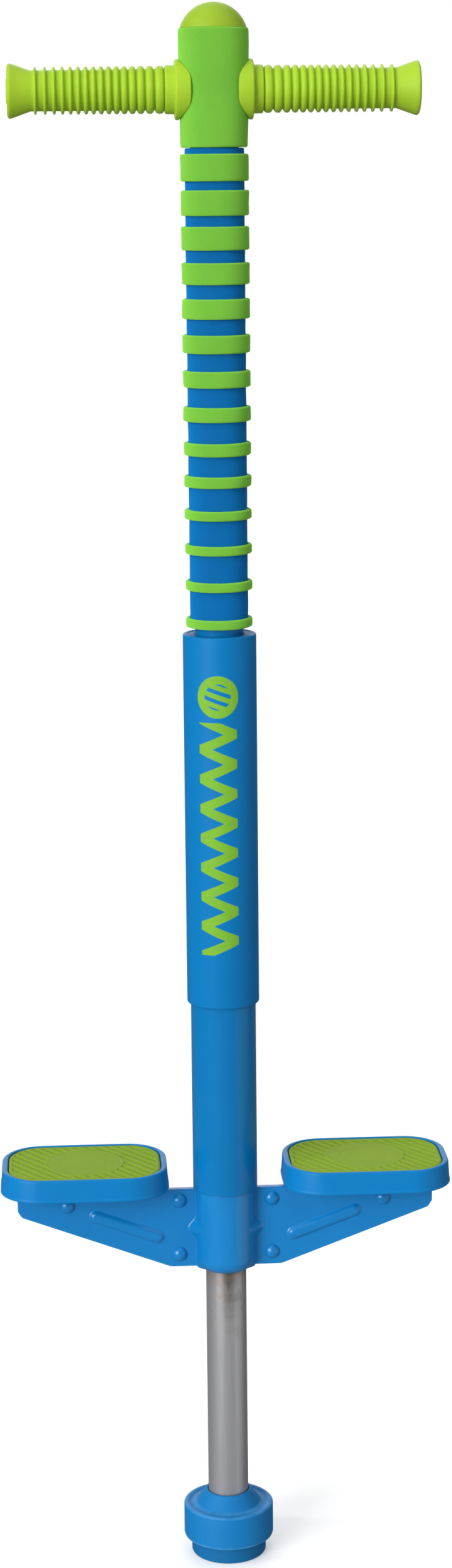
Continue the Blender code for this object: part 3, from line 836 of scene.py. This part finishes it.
def bracket(name, facing):
    """A stamping: a channel round the neck, two wings with a pressed rib and two bent tabs."""
    half = bracket_plan()
    plan = [(-1, *place) for place in half] + [(1, *place) for place in reversed(half[:-1])]
    bm = bmesh.new()
    columns = []
    for side, x, y, lip in plan:
        columns.append([bm.verts.new((side * px, facing * py, z))
                        for px, py, z in plate_column(x, y, lip)])
    for left, right in zip(columns, columns[1:]):
        for row in range(PLATE_ROWS + LIP_ROWS):
            bm.faces.new((left[row], right[row], right[row + 1], left[row + 1]))
    for side in (-1, 1):
        bend_tab(bm, [column[-1] for column, (at, x, _, _) in zip(columns, plan)
                      if at == side and TAB_X[0] <= x <= TAB_X[1]], facing)
    piece = finish_mesh(bm, name)
    thick = piece.modifiers.new("plate", "SOLIDIFY")
    thick.thickness = PLATE * MM
    thick.offset = 0.0
    thick.use_even_offset = True
    edge = piece.modifiers.new("edge", "BEVEL")
    edge.width = 0.3 * MM
    edge.segments = 2
    edge.limit_method = "ANGLE"
    edge.angle_limit = radians(60)
    settle(piece)
    smooth_faces(piece.data)
    dress(piece, "stick", ENAMEL, name.replace("_stamping", ""))


def rivets():
    """Six rivets through both stampings, with a domed head at each end."""
    face = BACK + PLATE
    shank_r, cap_r, rim, crown, steps = 2.2, 4.0, 0.35, 2.1, 10
    bulge = (cap_r**2 + crown**2) / (2 * crown)  # radius of the ball that a head is cut from
    centre = face + rim - bulge + crown
    reach = asin(cap_r / bulge)
    dome = []
    for step in range(steps):
        angle = reach * (1 - step / steps)
        dome.append((bulge * sin(angle), centre + bulge * cos(angle)))
    half = [(shank_r, face), (cap_r - 0.1, face), *dome, (0, face + rim + crown)]
    outline = [(r, -z) for r, z in reversed(half)] + half
    for side, word in ((-1, "left"), (1, "right")):
        for place, (x, z) in RIVETS.items():
            node = f"rivet_{place}_{word}"
            piece = turned(f"{node}_domed", outline, along("y", side * x, 0, z), 48)
            dress(piece, "stick", ENAMEL, node)


# Footrests


CORNER = 22.4
RIM = 3.8
END_SHARE, SIDE_SHARE = 1.14, 0.74  # the rim is wider at the footrest's ends than along its sides
DECK_TOP = TREAD_BASE - GAP
DECK_BASE = DECK_TOP - 3.0
SCREWS = {"inner": (62.0, -11.0), "outer": (92.0, 11.0)}
SCREW_TIP = 223.9


def bow(x, y):
    """Bow the sides of a footrest's plan a little: the middle of each side stays out."""
    bulge = 0.8
    half_x, half_y = PEDAL_LENGTH / 2, PEDAL_DEPTH / 2
    return (x * (1 - bulge / half_x * (y / half_y) ** 2 * (abs(x) / half_x) ** 4),
            y * (1 - bulge / half_y * (x / half_x) ** 2 * (abs(y) / half_y) ** 4))


def rest_outline(shrink, z, x):
    """The footrest's outline, drawn in by shrink: a round-cornered rectangle with bowed sides."""
    segments, spacing = 24, 3.0
    along_x, along_y = CORNER - shrink * END_SHARE, CORNER - shrink * SIDE_SHARE
    points = []
    for quarter, (sx, sy) in enumerate([(1, 1), (-1, 1), (-1, -1), (1, -1)]):
        for step in range(segments + 1):
            angle = (quarter + step / segments) * pi / 2
            points.append((sx * (PEDAL_LENGTH / 2 - CORNER) + along_x * cos(angle),
                           sy * (PEDAL_DEPTH / 2 - CORNER) + along_y * sin(angle)))
    filled = []
    for (x0, y0), (x1, y1) in zip(points, points[1:] + points[:1]):
        steps = max(1, round(hypot(x1 - x0, y1 - y0) / spacing))
        filled += [bow(x0 + (x1 - x0) * i / steps, y0 + (y1 - y0) * i / steps) for i in range(steps)]
    return [Vector((x + px, py, z)) for px, py in filled]


def rib(x, y, half_x, half_y):
    """A rib or web under a footrest's deck."""
    return block((x - half_x, y - half_y, PEDAL_BASE), (x + half_x, y + half_y, DECK_BASE + 1))


def footrest(word, side):
    """A tray with a rounded rim, and ribs and screw bosses under its deck."""
    x, half_rib, cross_rib, boss_r, hole_r = side * PEDAL_X, 1.5, 15.0, 5.2, 2.3
    section = rounded([
        (RIM, DECK_BASE), (RIM, PEDAL_BASE, 0.6), (0, PEDAL_BASE, 0.4), (0, PEDAL_BASE + 1.1, 0.4),
        (0.3, PEDAL_BASE + 1.6, 0.5), (0.9, PEDAL_TOP, 1.8), (RIM - 0.2, PEDAL_TOP, 0.8),
        (RIM, DECK_TOP)])
    bm = bmesh.new()
    skin(bm, [rest_outline(shrink, z, x) for shrink, z in section], wrap=False, caps=True)
    tray = finish_mesh(bm, f"pedal_{word}_tray")
    joined = [rib(x, 0, PEDAL_LENGTH / 2 - 3, half_rib)]
    joined += [rib(x + off, 0, half_rib, PEDAL_DEPTH / 2 - 3) for off in (-cross_rib, cross_rib)]
    holes = []
    for sx, sy in SCREWS.values():
        place = along("z", side * sx, sy)
        joined.append(turned("boss", rod_outline(PEDAL_BASE, DECK_BASE + 1, boss_r, 0.3), place, 32))
        holes.append(turned("hole", rod_outline(PEDAL_BASE - 10, SCREW_TIP + GAP, hole_r, 0.01), place, 24))
    cut(tray, *joined, operation="UNION")
    cut(tray, *holes)
    dress(tray, "stick", TRAY, f"pedal_{word}")
    for place, (sx, sy) in SCREWS.items():
        tab_screw(f"pedal_screw_{word}_{place}", side * sx, sy)


def tab_screw(node, x, y):
    """A pan-head self-tapping screw with a cross recess, driven up through the tab."""
    head = TAB_TOP - PLATE - GAP
    head_r, crest_r, root_r, turns = 3.8, 2.0, 1.65, 8
    base, rise = head + 0.6, SCREW_TIP - 1.0 - head - 0.6
    thread = [(crest_r if i % 2 else root_r, base + rise * i / (turns * 2 - 1)) for i in range(turns * 2)]
    piece = turned(f"{node}_driven", [
        (0, head - 2.2), (2.4, head - 2.2, 1.2), (head_r, head - 1.0, 0.8), (head_r, head, 0.2),
        (1.7, head), *thread, (0, SCREW_TIP)], along("z", x, y), 32)
    long, short = 1.9, 0.4
    arms = [block((x - half_x, y - half_y, head - 2.6), (x + half_x, y + half_y, head - 1.0))
            for half_x, half_y in ((long, short), (short, long))]
    cut(piece, *arms)
    dress(piece, "stick", STEEL, node)


DISC_R = 20.8  # the plain disc in the middle of a tread
INNER_RING_R = 12.5
RIB_PITCH = 4.8
RIB_LEAN = radians(53)
GROOVE = 0.75
BORDER = 0.2  # how high the disc's border stands above the ribs


def tread_height(x, y, inset):
    """The tread's surface above its ribs' tops: slanted ribs round a plain disc with a border."""
    far = hypot(x, y)
    off = (x * sin(RIB_LEAN) + y * cos(RIB_LEAN)) / RIB_PITCH
    groove = 1 - abs((off % 1) - 0.5) * 2  # 1 in the middle of a groove
    depth = GROOVE * smooth((groove - 0.52) / 0.30) * smooth((far - DISC_R - 0.8) / 0.5)
    depth *= smooth((inset - 2.2) / 0.5)
    border = smooth(1 - abs(far - DISC_R) / 0.75)
    ring = smooth(1 - abs(far - INNER_RING_R) / 0.7)
    return BORDER * border - depth - 0.12 * ring - 0.5 * (1 - smooth(inset / 1.1))


def tread(word, side):
    """The green insert: a fine grid inside the rim, with its pattern in the mesh."""
    x0 = side * PEDAL_X
    shrink = RIM + GAP
    core_x, core_y = PEDAL_LENGTH / 2 - CORNER, PEDAL_DEPTH / 2 - CORNER
    corner_x, corner_y = CORNER - shrink * END_SHARE, CORNER - shrink * SIDE_SHARE
    half_y = core_y + corner_y
    face = TREAD_TOP - BORDER
    rows, columns = 108, 168
    even = 0.65  # share of the grid's spacing that is even; the rest crowds towards the rim
    bm = bmesh.new()
    grid = []
    for row in range(rows + 1):
        t = 2 * row / rows - 1
        y = half_y * sin(pi / 2 * t) * (1 - even) + half_y * t * even
        past = max(abs(y) - core_y, 0) / corner_y
        reach = core_x + corner_x * sqrt(max(1 - past**2, 0))
        line = []
        for column in range(columns + 1):
            t = 2 * column / columns - 1
            x = reach * ((1 - even) * sin(pi / 2 * t) + even * t)
            qx, qy = (abs(x) - core_x) / corner_x, (abs(y) - core_y) / corner_y
            inset = CORNER * (1 - hypot(max(qx, 0), max(qy, 0)) - min(max(qx, qy), 0))
            px, py = bow(x, y)
            line.append(bm.verts.new((x0 + px, py, face + tread_height(x, y, inset))))
        grid.append(line)
    for lower, upper in zip(grid, grid[1:]):
        for i in range(columns):
            bm.faces.new((lower[i], lower[i + 1], upper[i + 1], upper[i]))
    loop = (grid[0] + [line[-1] for line in grid[1:]] + grid[-1][-2::-1]
            + [line[0] for line in grid[-2:0:-1]])
    foot = [bm.verts.new((v.co.x, v.co.y, TREAD_BASE)) for v in loop]
    for i in range(len(loop)):
        j = (i + 1) % len(loop)
        bm.faces.new((loop[i], foot[i], foot[j], loop[j]))
    bm.faces.new(foot)
    piece = finish_mesh(bm, f"tread_{word}_ribbed")
    dress(piece, "stick", TREAD_RUBBER, f"tread_{word}")


# Inside the barrel, the plunger and the foot


GUIDE_R = BARREL_R - 2.0  # of the pieces that stand or slide in the barrel
PILOT_R, PILOT = 10.6, 10  # the spigots that go into the spring's ends


def turned_node(node, outline, body, look, place=None, sides=96):
    """A turned piece that stands for the CAD node of its name."""
    dress(turned(f"{node}_turned", outline, place, sides), body, look, node)


def pin(node, radius, body):
    """A steel pin across the stem, from front to back."""
    place = along("y", z=middle(node))
    turned_node(node, rod_outline(*span(node, Y), radius, 0.4), body, STEEL, place, 32)


def insides():
    """The bush, the bumper, the reducer, the spring's seat and the pins."""
    running = PLUNGER_R + GAP
    neck_in = NECK_R - TUBE_WALL - GAP
    step = SHOULDER + TUBE_WALL + 0.5
    base, top = span("lower_bush", Z)
    turned_node("lower_bush", [
        (running, base, 0.5), (neck_in, base, 0.3), (neck_in, step), (GUIDE_R, step, 0.2),
        (GUIDE_R, top, 0.3), (running, top, 0.5)], "stick", NYLON)
    bumper = tube_outline(*span("rebound_bumper", Z), running, GUIDE_R - 0.3, 1.5)
    turned_node("rebound_bumper", bumper, "stick", BUFFER_RUBBER)
    reducer = tube_outline(*span("reducer_ring", Z), STEM_R + GAP, BARREL_IN - GAP, 0.4)
    turned_node("reducer_ring", reducer, "stick", STEEL)
    base, top = span("spring_seat", Z)
    shelf = base + PILOT
    turned_node("spring_seat", [
        (0, base), (PILOT_R, base, 1.2), (PILOT_R, shelf, 0.3), (GUIDE_R, shelf, 0.4),
        (GUIDE_R, top, 0.4), (0, top)], "stick", STEEL)
    pin("seat_pin", PIN_R, "stick")
    pin("handlebar_pin", PIN_R, "stick")


def main_spring():
    """The coil, closed at both ends, that sits between the stick and the follower."""
    wire_r, coil_r, turns, closed = 2.0, 13.2, 19, 4.5
    per_turn, around = 40, 14
    base, top = span("main_spring", Z)
    low, high = base + wire_r, top - wire_r
    pitch = (high - low - 2 * closed) / (turns - 2)
    rings = []
    for step in range(turns * per_turn + 1):
        turn = step / per_turn
        active = min(max(turn - 1, 0), turns - 2)
        z = low + closed * (turn - active) + pitch * active
        out = Vector((cos(2 * pi * turn), sin(2 * pi * turn), 0))
        spins = [2 * pi * part / around for part in range(around)]
        rings.append([out * (coil_r + wire_r * cos(spin)) + Vector((0, 0, z + wire_r * sin(spin)))
                      for spin in spins])
    bm = bmesh.new()
    skin(bm, rings, wrap=False, caps=True)
    piece = finish_mesh(bm, "main_spring_coil")
    piece.data.materials.append(SPRING_STEEL)
    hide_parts("main_spring")
    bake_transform(piece)


def plunger():
    """The plunger tube, and the collar, pin, follower and washer on it."""
    bore, collar_r = PLUNGER_R - TUBE_WALL, 15.0
    pin_z = middle("stop_collar")
    rod = turned("plunger_tube_drawn", tube_outline(PLUNGER_BASE, PLUNGER_TOP, bore, PLUNGER_R, 0.4))
    cut(rod, cross_hole(COLLAR_PIN_R + GAP, pin_z, "y"))
    dress(rod, "plunger", PLUNGER_STEEL, "plunger_tube")
    outline = tube_outline(*span("stop_collar", Z), PLUNGER_R + GAP, collar_r, 0.6)
    collar = turned("stop_collar_turned", outline)
    cut(collar, cross_hole(COLLAR_PIN_R + GAP, pin_z, "y"))
    dress(collar, "plunger", STEEL, "stop_collar")
    pin("collar_pin", COLLAR_PIN_R, "plunger")
    base, top = span("spring_follower", Z)
    flange, shelf, stub_r = PLUNGER_TOP + GAP, top - PILOT, bore - GAP
    turned_node("spring_follower", [
        (0, base), (stub_r, base, 0.8), (stub_r, flange), (GUIDE_R, flange, 0.4), (GUIDE_R, shelf, 0.4),
        (PILOT_R, shelf), (PILOT_R, top, 1.2), (0, top)], "follower", NYLON)
    washer = tube_outline(*span("foot_washer", Z), 4.0, PLUNGER_R - 0.2)
    turned_node("foot_washer", washer, "plunger", STEEL)


def rubber_foot():
    """The foot: a stepped sole, a straight side and a hollow curve up to the plunger."""
    bore, floor, sole_r = PLUNGER_R + GAP + 0.1, PLUNGER_BASE - 2.6, 20.7
    mouth = FOOT_TOP - 0.7
    turned_node("rubber_foot", [
        (0, 0.0), (sole_r, 0.0, 1.3), (sole_r, 9.6, 0.3), (sole_r + 0.6, 10.2, 0.3),
        (FOOT_R - 0.4, 10.2, 0.5), (FOOT_R, 11.6, 0.8), (FOOT_R, 28.9, 1.7), (22.6, 29.3, 1.2),
        (20.9, 28.2, 1.8), (17.9, 29.6, 3.0), (14.9, 33.4, 6.0), (12.5, mouth, 0.5),
        (bore, mouth, 0.4), (bore, mouth - 0.9, 0.3), (bore - 0.1, floor), (0, floor)],
        "plunger", FOOT_RUBBER, sides=ROUND)


# The studio


def camera():
    """The viewpoint: level with the grips, from the front and a little to the left, looking down."""
    distance, height, turn, tilt, roll = 1.5707, 0.7618, radians(3.2), radians(11.59), radians(0.585)
    sideways = 0.00266
    data = bpy.data.cameras.new("camera")
    data.sensor_width = 36.0
    data.lens = 68.86
    data.clip_start = 0.05
    view = bpy.data.objects.new("camera", data)
    spin = Matrix.Rotation(-turn, 4, "Z")
    view.matrix_world = (spin @ Matrix.Translation((sideways, -distance, height))
                         @ Matrix.Rotation(pi / 2 - tilt, 4, "X") @ Matrix.Rotation(-roll, 4, "Z"))
    bpy.context.scene.collection.objects.link(view)
    bpy.context.scene.camera = view


def sun(name, azimuth, elevation, strength, spread, gloss=1.0):
    """A soft distant light; azimuth is seen from above, from the front towards the right."""
    data = bpy.data.lights.new(name, "SUN")
    data.energy = strength * pi
    data.angle = radians(spread)
    data.specular_factor = gloss
    light = bpy.data.objects.new(name, data)
    turn, lift = radians(azimuth), radians(elevation)
    place = Vector((sin(turn) * cos(lift), -cos(turn) * cos(lift), sin(lift)))
    light.location = place * 3
    light.rotation_euler = place.to_track_quat("Z", "Y").to_euler()
    bpy.context.scene.collection.objects.link(light)


def backdrop_piece(bm, name, material):
    """A backdrop surface that only the camera sees."""
    piece = finish_mesh(bm, name)
    piece.data.materials.append(material)
    for ray in ("diffuse", "glossy", "transmission", "shadow"):
        setattr(piece, f"visible_{ray}", False)


def studio():
    """A pale floor inside a plain white surround, and soft lights, the key from the front left."""
    floor_half, surround_r, ambient = 24000, 25000, 0.14
    bm = bmesh.new()
    bmesh.ops.create_grid(bm, x_segments=1, y_segments=1, size=floor_half)
    look = Look("pale_floor", roughness=0.9, Specular_IOR_Level=0.0,
                Emission_Color=(1, 1, 1, 1), Emission_Strength=0.25)
    look.colour((0.99, 0.99, 0.99))
    backdrop_piece(bm, "floor", look.material)
    bm = bmesh.new()
    bmesh.ops.create_icosphere(bm, subdivisions=4, radius=surround_r)
    look = Look("white_surround", Emission_Color=(1, 1, 1, 1), Emission_Strength=1.0)
    look.colour((0, 0, 0))
    backdrop_piece(bm, "surround", look.material)
    world = bpy.data.worlds.new("studio")
    world.use_nodes = True
    background = world.node_tree.nodes["Background"].inputs
    background["Color"].default_value = (1, 1, 1, 1)
    background["Strength"].default_value = ambient
    bpy.context.scene.world = world
    sun("key", azimuth=-40, elevation=13, strength=0.91, spread=36)
    sun("fill", azimuth=68, elevation=4, strength=0.18, spread=70)
    sun("top", azimuth=10, elevation=80, strength=0.33, spread=90)
    sun("back", azimuth=180, elevation=20, strength=0.42, spread=60, gloss=0.15)
    sun("bounce", azimuth=-10, elevation=-58, strength=0.15, spread=120, gloss=0.2)
    sun("window", azimuth=-70, elevation=38, strength=0.13, spread=7)
    bpy.context.scene.view_settings.view_transform = "Standard"


camera()
upper_tube()
barrel()
barrel_sleeve()
stem_foam()
foam_rings()
head_foam()
dome_cap()
handlebar()
grip("grip_right_ribbed", 1)
grip("grip_left_ribbed", -1)
bracket("bracket_front_stamping", -1)
bracket("bracket_rear_stamping", 1)
rivets()
footrest("right", 1)
footrest("left", -1)
tread("right", 1)
tread("left", -1)
insides()
main_spring()
plunger()
rubber_foot()
studio()
